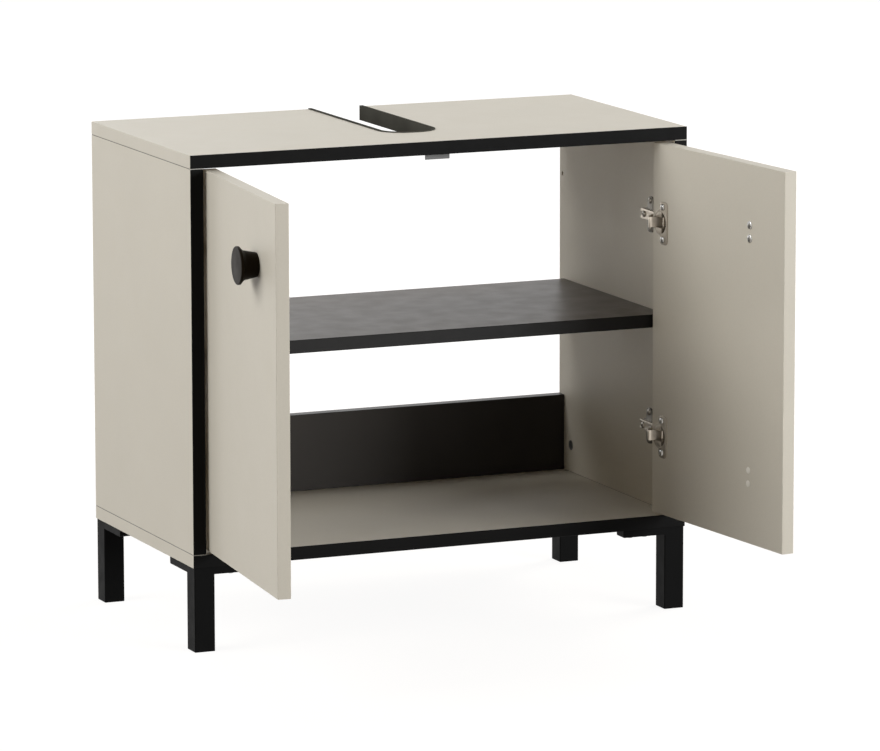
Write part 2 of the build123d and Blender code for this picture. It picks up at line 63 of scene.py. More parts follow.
class Side(Enum):
    """The two halves of the cabinet; the value is the sign of X."""

    LEFT = -1
    RIGHT = 1

    @property
    def word(self) -> str:
        """The side's name as it stands in node names."""
        return self.name.lower()

    @property
    def door(self) -> str:
        """The body that the side's door is."""
        return f"{self.word}_door"


class Level(Enum):
    """The two hinges of a door."""

    LOWER = "lower"
    UPPER = "upper"


class Face(Enum):
    """The faces that fittings stand on: the direction across each, and the one out of it."""

    DOOR_FRONT = (1, 0, 0), (0, -1, 0)
    DOOR_BACK = (1, 0, 0), (0, 1, 0)
    SIDE = (0, 1, 0), (1, 0, 0)


class Join(Enum):
    """How one closed shape changes another."""

    ADD = "UNION"
    CUT = "DIFFERENCE"
    KEEP = "INTERSECT"


def arc(centre: Spot, radius: float, start: float, end: float, steps: int = 8) -> Profile:
    """Points along an arc.

    Args:
        centre: the arc's centre.
        radius: its radius.
        start: the angle of its first point, in degrees.
        end: the angle of its last point, in degrees.
        steps: how many chords it has.

    Returns:
        The points, both ends included.
    """
    angles = [math.radians(start + (end - start) * step / steps) for step in range(steps + 1)]
    return [(centre[0] + radius * math.cos(turn), centre[1] + radius * math.sin(turn)) for turn in angles]


def rounded_rectangle(centre: Spot, width: float, height: float, radius: float) -> Profile:
    """Outline of a rectangle with round corners.

    Args:
        centre: its middle.
        width: its size along X.
        height: its size along Y.
        radius: the radius of its corners.

    Returns:
        The outline's points, anticlockwise.
    """
    across, up = width / 2 - radius, height / 2 - radius
    outline = []
    for x, y, start in ((across, up, 0), (-across, up, 90), (-across, -up, 180), (across, -up, 270)):
        outline += arc((centre[0] + x, centre[1] + y), radius, start, start + 90, 6)
    return outline


class Form:
    """A closed shape in the making, in millimetres, in its own place."""

    SHARP = math.radians(38)
    MERGE = 1e-4
    ROUND = 0.5
    UNMOVED = Matrix.Identity(4)

    def __init__(self) -> None:
        """Start with nothing."""
        self.shape = bmesh.new()

    @classmethod
    def turned(cls, profile: Profile, steps: int = 48) -> "Form":
        """Turn a profile about Z.

        Args:
            profile: radius and height of each point, from one end of the axis to the other.
            steps: how many steps make the full turn.

        Returns:
            The turned form.
        """
        form = cls()
        points = [form.shape.verts.new((radius, 0.0, height)) for radius, height in profile]
        edges = [form.shape.edges.new(pair) for pair in zip(points, points[1:])]
        origin, up = (0.0, 0.0, 0.0), (0.0, 0.0, 1.0)
        turn = {"cent": origin, "axis": up, "dvec": origin, "angle": math.tau, "steps": steps}
        bmesh.ops.spin(form.shape, geom=points + edges, use_merge=True, **turn)
        return form._closed()

    @classmethod
    def rod(cls, radius: float, low: float, high: float, steps: int) -> "Form":
        """Turn a round rod along Z.

        Args:
            radius: its radius.
            low: height of its lower end.
            high: height of its upper end.
            steps: how many steps make the full turn.

        Returns:
            The rod.
        """
        return cls.turned([(0.0, low), (radius, low), (radius, high), (0.0, high)], steps)

    @classmethod
    def plate(cls, outline: Profile, low: float, high: float) -> "Form":
        """Raise an outline from one height to another.

        Args:
            outline: the outline's points.
            low: height of its underside.
            high: height of its top.

        Returns:
            The plate.
        """
        form = cls()
        corners = [form.shape.verts.new((x, y, low)) for x, y in outline]
        face = form.shape.faces.new(corners)
        raised = bmesh.ops.extrude_face_region(form.shape, geom=[face], use_keep_orig=True)["geom"]
        moved = [item for item in raised if isinstance(item, bmesh.types.BMVert)]
        bmesh.ops.translate(form.shape, verts=moved, vec=(0.0, 0.0, high - low))
        return form._closed()

    @classmethod
    def strip(cls, line: Profile, width: float, thickness: float) -> "Form":
        """Draw a line out along Z to a strip, half to each side, and give it a thickness.

        Args:
            line: the points of the strip's outer face.
            width: the strip's width.
            thickness: its thickness, towards the line's left.

        Returns:
            The strip.
        """
        form = cls()
        points = [form.shape.verts.new((x, y, -width / 2)) for x, y in line]
        edges = [form.shape.edges.new(pair) for pair in zip(points, points[1:])]
        drawn = bmesh.ops.extrude_edge_only(form.shape, edges=edges)["geom"]
        moved = [item for item in drawn if isinstance(item, bmesh.types.BMVert)]
        bmesh.ops.translate(form.shape, verts=moved, vec=(0.0, 0.0, width))
        form.shape.normal_update()
        whole = form.shape.faces[:] + form.shape.edges[:] + form.shape.verts[:]
        bmesh.ops.solidify(form.shape, geom=whole, thickness=-thickness)
        return form._closed()

    @classmethod
    def block(cls, x: Range, y: Range, z: Range) -> "Form":
        """Make a block.

        Args:
            x: where it starts and ends along X.
            y: where it starts and ends along Y.
            z: where it starts and ends along Z.

        Returns:
            The block.
        """
        form = cls()
        size = [high - low for low, high in (x, y, z)]
        middle = [(low + high) / 2 for low, high in (x, y, z)]
        place = Matrix.Translation(middle) @ Matrix.Diagonal((*size, 1.0))
        bmesh.ops.create_cube(form.shape, size=1.0, matrix=place)
        return form

    def _closed(self) -> "Form":
        """Merge what meets and turn the faces outwards."""
        bmesh.ops.remove_doubles(self.shape, verts=self.shape.verts, dist=self.MERGE)
        bmesh.ops.recalc_face_normals(self.shape, faces=self.shape.faces)
        return self

    def eased(self, radius: float, segments: int = 2) -> "Form":
        """Round every sharp edge.

        Args:
            radius: how far the rounding reaches from the edge.
            segments: how many facets it has.

        Returns:
            The form itself.
        """
        sharp = [edge for edge in self.shape.edges if edge.calc_face_angle(0.0) > self.SHARP]
        shape = {"offset": radius, "segments": segments, "profile": self.ROUND, "clamp_overlap": True}
        bmesh.ops.bevel(self.shape, geom=sharp, affect="EDGES", material=-1, **shape)
        return self._closed()

    def moved(self, place: Matrix) -> "Form":
        """Move the form, and turn its faces outwards again if that mirrored it."""
        self.shape.transform(place)
        if place.determinant() < 0:
            bmesh.ops.reverse_faces(self.shape, faces=self.shape.faces)
        return self

    def with_copy(self, other: "Form", place: Matrix = UNMOVED) -> "Form":
        """Take a copy of another form in, as a solid of its own.

        Args:
            other: the form to copy, which stays as it is.
            place: where the copy goes.

        Returns:
            The form itself.
        """
        mesh = bpy.data.meshes.new("copy")
        other.shape.to_mesh(mesh)
        mesh.transform(place)
        if place.determinant() < 0:
            mesh.flip_normals()
        self.shape.from_mesh(mesh)
        bpy.data.meshes.remove(mesh)
        return self

    def joined(self, other: "Form", how: Join) -> "Form":
        """Add, cut or keep what another closed form covers.

        Args:
            other: the form that this one is joined with.
            how: what becomes of the two.

        Returns:
            The form itself.
        """
        pair = [form._as_object(name) for form, name in ((self, "body"), (other, "tool"))]
        step = pair[0].modifiers.new("join", "BOOLEAN")
        step.operation = how.value
        step.solver = "EXACT"
        step.object = pair[1]
        bpy.context.view_layer.update()
        result = bpy.data.meshes.new_from_object(
            pair[0].evaluated_get(bpy.context.evaluated_depsgraph_get())
        )
        self.shape.free()
        self.shape = bmesh.new()
        self.shape.from_mesh(result)
        bpy.data.meshes.remove(result)
        for item in pair:
            bpy.data.meshes.remove(item.data)
        return self._closed()

    def _as_object(self, name: str) -> bpy.types.Object:
        """The form as an object of its own, for a modifier to work on."""
        mesh = bpy.data.meshes.new(name)
        self.shape.to_mesh(mesh)
        item = bpy.data.objects.new(name, mesh)
        bpy.context.scene.collection.objects.link(item)
        return item

    def piece(self, name: str, place: Matrix) -> bpy.types.Object:
        """Finish the form as a piece.

        Args:
            name: the piece's name.
            place: from the form's own place to the cabinet's frame, in millimetres.

        Returns:
            The piece, with its place in its mesh.
        """
        self.moved(Matrix.Scale(MM, 4) @ place)
        item = self._as_object(name)
        item.data.shade_smooth()
        item.data.set_sharp_from_angle(angle=self.SHARP)
        return item


class Graph:
    """A material's or the world's node tree, with short calls that add and join nodes."""

    NOISE_MIDDLE = (0.3, 0.7)

    def __init__(self, owner: Material | bpy.types.World) -> None:
        """Empty the owner's tree.

        Args:
            owner: the material or the world that the tree belongs to.
        """
        self.owner = owner
        owner.use_nodes = True
        self.tree = owner.node_tree
        self.tree.nodes.clear()

    @classmethod
    def of_material(cls, name: str) -> "Graph":
        """Start the tree of a new material."""
        return cls(bpy.data.materials.new(name))

    def add(self, kind: str, sockets: dict | None = None, **settings: object) -> bpy.types.Node:
        """Add a node, set its properties and fill its sockets.

        Args:
            kind: the node's Blender type, without the ShaderNode that it starts with.
            sockets: input name or number to a value or to another node's output.
            **settings: properties of the node itself.

        Returns:
            The new node.
        """
        node = self.tree.nodes.new(f"ShaderNode{kind}")
        for key, value in settings.items():
            setattr(node, key, value)
        for key, value in (sockets or {}).items():
            if isinstance(value, Socket):
                self.tree.links.new(value, node.inputs[key])
            else:
                node.inputs[key].default_value = value
        return node

    def place(self, scale: Point = (1.0, 1.0, 1.0)) -> Socket:
        """Object coordinates in metres, stretched by a scale.

        Args:
            scale: factor on each axis.

        Returns:
            The scaled coordinates.
        """
        origin = self.add("TexCoord")
        if scale == (1.0, 1.0, 1.0):
            return origin.outputs["Object"]
        mapping = self.add("Mapping", {"Vector": origin.outputs["Object"], "Scale": scale})
        return mapping.outputs["Vector"]

    def noise(self, place: Socket, per_metre: float, detail: float = 2.0, roughness: float = 0.5) -> Socket:
        """Noise of a given fineness.

        Args:
            place: the coordinates it is read at.
            per_metre: how many times it repeats in a metre.
            detail: how many finer layers it has.
            roughness: how strong the finer layers are.

        Returns:
            The noise's value, about 0.5 on average.
        """
        sockets = {"Vector": place, "Scale": per_metre, "Detail": detail, "Roughness": roughness}
        return self.add("TexNoise", sockets).outputs["Fac"]

    def span(self, value: Socket, low: float, high: float) -> Socket:
        """Spread the middle of a noise's range over a range of values.

        Args:
            value: the noise.
            low: the value where the noise is low.
            high: the value where the noise is high.

        Returns:
            The spread value.
        """
        return self.carried(value, self.NOISE_MIDDLE, (low, high))

    def about(self, value: Socket, middle: float, spread: float) -> Socket:
        """Spread the middle of a noise's range evenly about a value.

        Args:
            value: the noise.
            middle: the value that it is spread about.
            spread: how far it goes to each side.

        Returns:
            The spread value.
        """
        return self.span(value, middle - spread, middle + spread)

    def carried(self, value: Socket, source: Range, target: Range, **settings: object) -> Socket:
        """Carry one range of values over to another, and hold what lies outside it at its ends.

        Args:
            value: the value to carry over.
            source: the range that it lies in.
            target: the range that it is carried to.
            **settings: properties of the node itself.

        Returns:
            The carried value.
        """
        sockets = {"Value": value, "From Min": source[0], "From Max": source[1]}
        sockets |= {"To Min": target[0], "To Max": target[1]}
        return self.add("MapRange", sockets, **settings).outputs["Result"]

    def work_out(self, operation: str, *values: Socket | float) -> Socket:
        """Work a value out of others.

        Args:
            operation: the operation, by its Blender name.
            *values: what it is worked out of.

        Returns:
            The result.
        """
        return self.add("Math", dict(enumerate(values)), operation=operation).outputs[0]

    def blend(self, share: Socket, first: Colour, second: Colour) -> Socket:
        """Mix two colours.

        Args:
            share: how much of the second colour shows.
            first: the colour at 0.
            second: the colour at 1.

        Returns:
            The mixed colour.
        """
        mix = self.add("Mix", {"Factor": share}, data_type="RGBA")
        colours = [socket for socket in mix.inputs if socket.type == "RGBA"]
        colours[0].default_value = (*first, 1.0)
        colours[1].default_value = (*second, 1.0)
        return next(socket for socket in mix.outputs if socket.type == "RGBA")

    def over(self, share: Socket, below: Socket, colour: Colour) -> Socket:
        """Lay a plain colour over another node's.

        Args:
            share: how much of the plain colour shows.
            below: the colour under it.
            colour: the plain colour.

        Returns:
            The mixed colour.
        """
        mixed = self.blend(share, (0.0, 0.0, 0.0), colour)
        first = next(socket for socket in mixed.node.inputs if socket.type == "RGBA")
        self.tree.links.new(below, first)
        return mixed

    def bump(self, height: Socket, depth: float, below: Socket | None = None) -> Socket:
        """Raise and lower the surface.

        Args:
            height: the height's pattern, from 0 to 1.
            depth: the height of its full range, in metres.
            below: another bump that this one lies on.

        Returns:
            The changed normal.
        """
        sockets = {"Height": height, "Distance": depth, "Strength": 1.0}
        if below is not None:
            sockets["Normal"] = below
        return self.add("Bump", sockets).outputs["Normal"]

    def finish(self, **sockets: object) -> Material:
        """Close the tree with a Principled shader.

        Args:
            **sockets: the shader's inputs, with _ in place of a space.

        Returns:
            The finished material.
        """
        named = {key.replace("_", " "): value for key, value in sockets.items()}
        shader = self.add("BsdfPrincipled", named)
        self.add("OutputMaterial", {"Surface": shader.outputs["BSDF"]})
        return self.owner


def lighter(colour: Colour, factor: float) -> Colour:
    """The same colour, brighter or darker by a factor."""
    return tuple(min(1.0, channel * factor) for channel in colour)


@dataclass(frozen=True)
class Seam:
    """A thin painted line where a side panel meets the top and the bottom: shade on the boards, a highlight on the
    bands.
    """

    heights: Range
    inner_face: float
    colour: Colour
    half_width: float = 0.00042
    fade: float = 0.00012

    def drawn(self, graph: Graph, colour: Socket) -> Socket:
        """Paint the joint's shade or highlight over a board's colour.

        Args:
            graph: the board's node tree.
            colour: the board's colour.

        Returns:
            The colour with the line in it.
        """
        axes = graph.add("SeparateXYZ", {"Vector": graph.place()}).outputs
        offsets = [graph.work_out("SUBTRACT", axes["Z"], height) for height in self.heights]
        gaps = [graph.work_out("ABSOLUTE", offset) for offset in offsets]
        ends = (self.half_width - self.fade, self.half_width + self.fade)
        near = graph.carried(graph.work_out("MINIMUM", *gaps), ends, (1.0, 0.0))
        over_side = graph.work_out("GREATER_THAN", graph.work_out("ABSOLUTE", axes["X"]), self.inner_face)
        # the painted shade or highlight is laid over the colour within the line's width, beyond the side panels'
        # inner faces
        return graph.over(graph.work_out("MULTIPLY", near, over_side), colour, self.colour)


@dataclass(frozen=True)
class Laminate:
    """Melamine-faced board: a matt skin with a fine pearl and a very faint cloud in its colour."""

    name: str
    colour: Colour
    roughness: float = 0.5
    cloud: float = 0.025
    pearl_per_metre: float = 900.0
    pearl_depth: float = 0.000035
    wave_depth: float = 0.00004
    specular: float = 0.5
    tint: Colour = (1.0, 1.0, 1.0)
    seam: Seam | None = None
    cloud_per_metre: float = 9.0
    fleck_per_metre: float = 420.0
    wave_per_metre: float = 60.0
    patch_per_metre: float = 35.0
    gloss_spread: float = 0.03

    def material(self) -> Material:
        """Build the board's material."""
        graph = Graph.of_material(self.name)
        place = graph.place()
        cloud = graph.noise(place, self.cloud_per_metre, detail=4.0)
        fleck = graph.noise(place, self.fleck_per_metre)
        half = graph.work_out("MULTIPLY", graph.work_out("ADD", cloud, fleck), 0.5)
        dark, pale = lighter(self.colour, 1 - self.cloud), lighter(self.colour, 1 + self.cloud)
        colour = graph.blend(graph.span(half, 0.0, 1.0), dark, pale)
        # where given, painted shade along the joints with the side panels is laid over the colour
        if self.seam is not None:
            colour = self.seam.drawn(graph, colour)
        pearl = graph.noise(place, self.pearl_per_metre, detail=3.0, roughness=0.6)
        waves = graph.noise(place, self.wave_per_metre, detail=1.0)
        normal = graph.bump(pearl, self.pearl_depth, graph.bump(waves, self.wave_depth))
        patches = graph.noise(place, self.patch_per_metre, detail=3.0)
        sheen = graph.about(patches, self.roughness, self.gloss_spread)
        return graph.finish(
            Base_Color=colour,
            Roughness=sheen,
            Normal=normal,
            Specular_IOR_Level=self.specular,
            Specular_Tint=(*self.tint, 1.0),
        )


@dataclass(frozen=True)
class EdgeBanding:
    """Plastic strip on a board's edge, with fine lines along it from its extrusion and trimming."""

    name: str
    colour: Colour
    roughness: float = 0.45
    specular: float = 0.05
    seam: Seam | None = None
    line_stretch: Point = (2.0, 40.0, 2.0)
    line_per_metre: float = 60.0
    grain_per_metre: float = 1500.0
    depth: float = 0.00002
    cloud_per_metre: float = 14.0
    cloud_gain: float = 1.5
    gloss_per_metre: float = 90.0
    gloss_spread: float = 0.05

    def material(self) -> Material:
        """Build the strip's material."""
        graph = Graph.of_material(self.name)
        place = graph.place()
        along = graph.noise(graph.place(self.line_stretch), self.line_per_metre, detail=3.0)
        grain = graph.noise(place, self.grain_per_metre)
        cloud = graph.noise(place, self.cloud_per_metre)
        pale = lighter(self.colour, self.cloud_gain)
        colour = graph.blend(graph.span(cloud, 0.0, 1.0), self.colour, pale)
        # where given, a painted highlight along the joints with the side panels is laid over the colour
        if self.seam is not None:
            colour = self.seam.drawn(graph, colour)
        normal = graph.bump(grain, self.depth, graph.bump(along, self.depth))
        patches = graph.noise(place, self.gloss_per_metre)
        rough = graph.about(patches, self.roughness, self.gloss_spread)
        return graph.finish(
            Base_Color=colour, Roughness=rough, Normal=normal, Specular_IOR_Level=self.specular
        )


@dataclass(frozen=True)
class MouldedPlastic:
    """Moulded plastic with a fine eroded grain."""

    name: str
    colour: Colour
    roughness: float = 0.42
    grain_per_metre: float = 1400.0
    grain_depth: float = 0.00003
    specular: float = 0.5
    tint: Colour = (1.0, 1.0, 1.0)
    fine_depth: float = 0.00001
    cloud_per_metre: float = 30.0
    cloud_gain: float = 1.25
    gloss_per_metre: float = 60.0
    gloss_spread: float = 0.05

    def material(self) -> Material:
        """Build the plastic's material."""
        graph = Graph.of_material(self.name)
        place = graph.place()
        cells = graph.add("TexVoronoi", {"Vector": place, "Scale": self.grain_per_metre})
        fine = graph.noise(place, self.grain_per_metre * 2)
        cloud = graph.span(graph.noise(place, self.cloud_per_metre, detail=3.0), 0.0, 1.0)
        colour = graph.blend(cloud, self.colour, lighter(self.colour, self.cloud_gain))
        normal = graph.bump(cells.outputs["Distance"], self.grain_depth, graph.bump(fine, self.fine_depth))
        patches = graph.noise(place, self.gloss_per_metre)
        rough = graph.about(patches, self.roughness, self.gloss_spread)
        return graph.finish(
            Base_Color=colour,
            Roughness=rough,
            Normal=normal,
            Specular_IOR_Level=self.specular,
            Specular_Tint=(*self.tint, 1.0),
        )


@dataclass(frozen=True)
class PlatedMetal:
    """Pressed steel with a bright plating: faint rolling lines, small pits and uneven gloss."""

    name: str
    colour: Colour
    roughness: float = 0.24
    gloss: Range = (-0.06, 0.10)
    roll_stretch: Point = (1.0, 1.0, 18.0)
    roll_per_metre: float = 220.0
    roll_depth: float = 0.000012
    pit_per_metre: float = 2600.0
    pit_depth: float = 0.000008
    tarnish_per_metre: float = 160.0
    tarnish: Range = (0.88, 1.05)

    def material(self) -> Material:
        """Build the metal's material."""
        graph = Graph.of_material(self.name)
        place = graph.place()
        rolled = graph.noise(graph.place(self.roll_stretch), self.roll_per_metre, detail=3.0)
        pits = graph.noise(place, self.pit_per_metre)
        tarnish = graph.span(graph.noise(place, self.tarnish_per_metre, detail=4.0), 0.0, 1.0)
        colour = graph.blend(tarnish, *[lighter(self.colour, factor) for factor in self.tarnish])
        normal = graph.bump(pits, self.pit_depth, graph.bump(rolled, self.roll_depth))
        rough = graph.span(rolled, *[self.roughness + change for change in self.gloss])
        return graph.finish(Base_Color=colour, Roughness=rough, Normal=normal, Metallic=1.0)


@dataclass(frozen=True)
class Beech:
    """Turned beech with its grain along Z and short dark flecks."""

    name: str
    colour: Colour
    roughness: float = 0.6
    grain_stretch: Point = (9.0, 9.0, 1.0)
    grain_per_metre: float = 90.0
    grain_depth: float = 0.00006
    fleck_stretch: Point = (12.0, 12.0, 2.0)
    fleck_per_metre: float = 260.0
    fleck_gain: float = 2.0
    dark_share: float = 0.72

    def material(self) -> Material:
        """Build the wood's material."""
        graph = Graph.of_material(self.name)
        place = graph.place(self.grain_stretch)
        grain = graph.noise(place, self.grain_per_metre, detail=5.0, roughness=0.6)
        flecks = graph.noise(graph.place(self.fleck_stretch), self.fleck_per_metre)
        both = graph.work_out("MULTIPLY", grain, flecks)
        flecked = graph.span(graph.work_out("MULTIPLY", both, self.fleck_gain), 0.0, 1.0)
        colour = graph.blend(flecked, lighter(self.colour, self.dark_share), self.colour)
        normal = graph.bump(grain, self.grain_depth)
        return graph.finish(Base_Color=colour, Roughness=self.roughness, Normal=normal)


GREIGE: Colour = (0.615, 0.558, 0.462)
BLACK: Colour = (0.0050, 0.0042, 0.0036)
BAND_BLACK: Colour = (0.0030, 0.0028, 0.0026)
WARM: Colour = (1.0, 0.91, 0.83)
UMBER: Colour = (1.0, 0.82, 0.66)

SIDE_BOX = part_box("left_side_panel")
JOINT_HEIGHTS = (SIDE_BOX[0].z, SIDE_BOX[1].z)
OVER_SIDES = -SIDE_BOX[1].x + 0.2 * MM
# painted shade in the side panels' joints on the greige boards, and a painted highlight in the same joints on the
# black bands
BOARD_JOINT_SHADE = Seam(JOINT_HEIGHTS, OVER_SIDES, (0.13, 0.115, 0.095))
BAND_JOINT_HIGHLIGHT = Seam(JOINT_HEIGHTS, OVER_SIDES, (0.52, 0.50, 0.46), half_width=0.00045)

BLACK_BOARD = Laminate(
    "black_laminate", BLACK, 0.38, 0.05, pearl_depth=0.00002, wave_depth=0.00001, specular=0.33, tint=WARM
)

SLOT_FINISHES = {
    "greige_board": Laminate("greige_laminate", GREIGE, roughness=0.52),
    "black_board": BLACK_BOARD,
    "black_edge_band": EdgeBanding("black_edge_banding", BAND_BLACK),
    "black_leg": MouldedPlastic(
        "black_leg_plastic", (0.0030, 0.0029, 0.0028), roughness=0.48, specular=0.04
    ),
    "black_knob": MouldedPlastic(
        "black_knob_lacquer", (0.0044, 0.0026, 0.0008), 0.42, 2200.0, 0.00001, specular=0.062, tint=UMBER
    ),
    "greige_plastic": MouldedPlastic("greige_cap_plastic", (0.80, 0.75, 0.66), 0.35, 2000.0, 0.00001),
    "grey_plastic": MouldedPlastic("grey_stop_plastic", (0.085, 0.083, 0.08), 0.45),
    "beech": Beech("beech_dowel", (0.60, 0.42, 0.25)),
    "zinc_plated_steel": PlatedMetal("zinc_plating", (0.34, 0.34, 0.33), 0.40),
    "nickel_plated_steel": PlatedMetal("nickel_plating", (0.27, 0.245, 0.21), 0.34),
}


def of_each_side(*pieces: str) -> list[str]:
    """The names of pieces that the left and the right both have."""
    return [f"{side.word}_{piece}" for side in Side for piece in pieces]


def of_each_hinge(piece: str) -> list[str]:
    """The names of a piece that each hinge has."""
    return of_each_side(*[f"{level.value}_{piece}" for level in Level])


OWN_FINISHES = (
    (
        # greige boards with painted shade in the joints beside the side panels
        Laminate("seamed_greige_laminate", GREIGE, roughness=0.52, seam=BOARD_JOINT_SHADE),
        ["top_panel", "bottom_panel", *of_each_side("side_panel")],
    ),
    (
        # black bands with a painted highlight in the same joints
        EdgeBanding("seamed_edge_banding", BAND_BLACK, seam=BAND_JOINT_HIGHLIGHT),
        ["top_front_edge_band", "bottom_front_edge_band", *of_each_side("side_front_edge_band")],
    ),
    (
        EdgeBanding("shelf_edge_banding", (0.0045, 0.0038, 0.0033), specular=0.16),
        ["shelf_front_edge_band"],
    ),
    (
        EdgeBanding("cutout_edging", (0.056, 0.053, 0.044), roughness=0.6, specular=0.0),
        ["top_cutout_edge_band"],
    ),
    (replace(BLACK_BOARD, name="shelf_laminate", colour=(0.028, 0.016, 0.006), specular=0.34), ["shelf"]),
    # one nickel plating painted three ways for how the light falls on each: the arms lightest, the cups lighter,
    # and the mounting plates darkened with painted shade
    (PlatedMetal("bright_nickel_plating", (0.56, 0.50, 0.42), 0.46), of_each_hinge("hinge_arm")),
    (PlatedMetal("dull_nickel_plating", (0.17, 0.155, 0.132), 0.44), of_each_hinge("mounting_plate")),
    (PlatedMetal("satin_nickel_plating", (0.33, 0.29, 0.235), 0.42), of_each_hinge("hinge_cup")),
    (
        PlatedMetal("bright_zinc_plating", (0.46, 0.45, 0.43), 0.26),
        of_each_side("knob_screws", "hinge_cup_screws"),
    ),
)
NODE_FINISHES = {node: finish for finish, nodes in OWN_FINISHES for node in nodes}


class Workshop:
    """Holds each finish's material, built once, and dresses CAD nodes and new pieces with it."""

    def __init__(self) -> None:
        """Read the record's slots and bodies."""
        record = frame["record"]
        self.slots = {part["node"]: part["material_slot"] for part in record["subparts"]}
        groups = record["behaviour"]["bodies"]
        self.bodies = {node: body for body, nodes in groups.items() for node in nodes}
        self.materials: dict[str, Material] = {}

    def material(self, node: str) -> Material:
        """The material of a node: its own finish where it has one, or else its slot's."""
        finish = NODE_FINISHES.get(node) or SLOT_FINISHES[self.slots[node]]
        if finish.name not in self.materials:
            self.materials[finish.name] = finish.material()
        return self.materials[finish.name]

    def dress_all(self) -> None:
        """Give every CAD node its finish."""
        for node in self.slots:
            mesh = frame["nodes"][node].data
            if not mesh.materials:
                mesh.materials.append(None)
            for index in range(len(mesh.materials)):
                mesh.materials[index] = self.material(node)
            log.info("dressed %s in %s", node, self.slots[node])

    def stand_in(self, form: Form, node: str, place: Matrix) -> None:
        """Put a detailed piece in the place of a CAD node.

        Args:
            form: the piece's shape, in millimetres.
            node: the node that it stands for, whose slot and body it takes.
            place: from the shape's own place to the cabinet's frame.
        """
        piece = form.piece(f"{node}_piece", place)
        piece.data.materials.append(self.material(node))
        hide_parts(node)
        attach(piece, self.bodies[node])
        log.info("%s stands for %s, with %d faces", piece.name, node, len(piece.data.polygons))


class Places:
    """Where fittings go, in millimetres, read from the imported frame.

    A hinge's own place has its origin on the pin: X runs towards the cabinet's middle, Y towards
    the back and Z up. Pieces of a door are given as they lie with the door closed.
    """

    def __init__(self) -> None:
        """Read the hinge pins and the side's inner face."""
        self.joints = {joint["child"]: joint for joint in frame["joints"]}
        self.pin = Vector(self.joints[Side.LEFT.door]["pos_m"]) / MM
        self.side_face = SIDE_BOX[1].x / MM - self.pin.x

    @staticmethod
    def half(side: Side) -> Matrix:
        """The left half as it is, or mirrored for the right."""
        return Matrix.Diagonal((-side.value, 1.0, 1.0, 1.0))

    def fixed(self, side: Side) -> Matrix:
        """From beside a left hinge pin to the cabinet's frame, at floor level."""
        return self.half(side) @ Matrix.Translation((self.pin.x, self.pin.y, 0.0))

    def swung(self, side: Side) -> Matrix:
        """The same for a piece of the closed door, at the place where the open door stands."""
        angle = math.radians(self.joints[side.door]["range_deg"][1])
        return self.fixed(side) @ Matrix.Rotation(-angle, 4, "Z")

    def height(self, side: Side, level: Level) -> float:
        """The height of a hinge's middle."""
        low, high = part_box(f"{side.word}_{level.value}_hinge_pin")
        return (low.z + high.z) / 2 / MM


def standing(face: Face, origin: Point) -> Matrix:
    """A place on a face, with X across it and Z out of it.

    Args:
        face: which kind of face it is.
        origin: the place's origin on it.

    Returns:
        From the place to where the face is.
    """
    x_axis, z_axis = map(Vector, face.value)
    turn = Matrix((x_axis, z_axis.cross(x_axis), z_axis)).transposed().to_4x4()
    return Matrix.Translation(origin) @ turn


@dataclass(frozen=True)
class Screw:
    """Screw with a domed head and a crossed drive. Its head stands on Z = 0 and it points down."""

    head: float
    head_height: float
    shank: float
    length: float
    pitch: float = 1.6
    thread_depth: float = 0.35
    rim_share: float = 0.3
    drive_share: float = 0.62
    drive_width: float = 1.1
    drive_depth_share: float = 0.72
    drive_taper: float = 0.6
    crown_steps: int = 8
    steps: int = 32

    def form(self) -> Form:
        """Turn the screw and cut its drive."""
        radius, rim = self.head / 2, self.head_height * self.rim_share
        turns = [math.radians(90) * step / self.crown_steps for step in range(self.crown_steps + 1)]
        crown = [
            (radius * math.cos(turn), rim + (self.head_height - rim) * math.sin(turn)) for turn in turns
        ]
        thread = [(0.0, -self.length), (self.shank / 4, -self.length)]
        for ridge in range(int((self.length - self.shank) / self.pitch)):
            low = -self.length + self.shank / 2 + ridge * self.pitch
            thread += [(self.shank / 2 - self.thread_depth, low), (self.shank / 2, low + self.pitch / 2)]
        profile = thread + [(self.shank / 2, 0.0), (radius, 0.0)] + crown[:-1] + [(0.0, self.head_height)]
        return Form.turned(profile, self.steps).joined(self._drive(), Join.CUT)

    def _drive(self) -> Form:
        """The crossed space that the screwdriver takes, narrower towards its bottom."""
        reach = self.head * self.drive_share / 2
        bottom = self.head_height * (1 - self.drive_depth_share)
        height = (bottom, 2 * self.head_height)
        half = self.drive_width / 2
        cross = Form.block((-reach, reach), (-half, half), height)
        cross.joined(Form.block((-half, half), (-reach, reach), height), Join.ADD)
        low = [vert for vert in cross.shape.verts if vert.co.z < self.head_height]
        bmesh.ops.scale(cross.shape, vec=(self.drive_taper, self.drive_taper, 1.0), verts=low)
        return cross

    def group(self, places: list[Matrix]) -> Form:
        """The same screw at several places, as solids of one form."""
        screw, whole = self.form(), Form()
        for place in places:
            whole.with_copy(screw, place)
        return whole


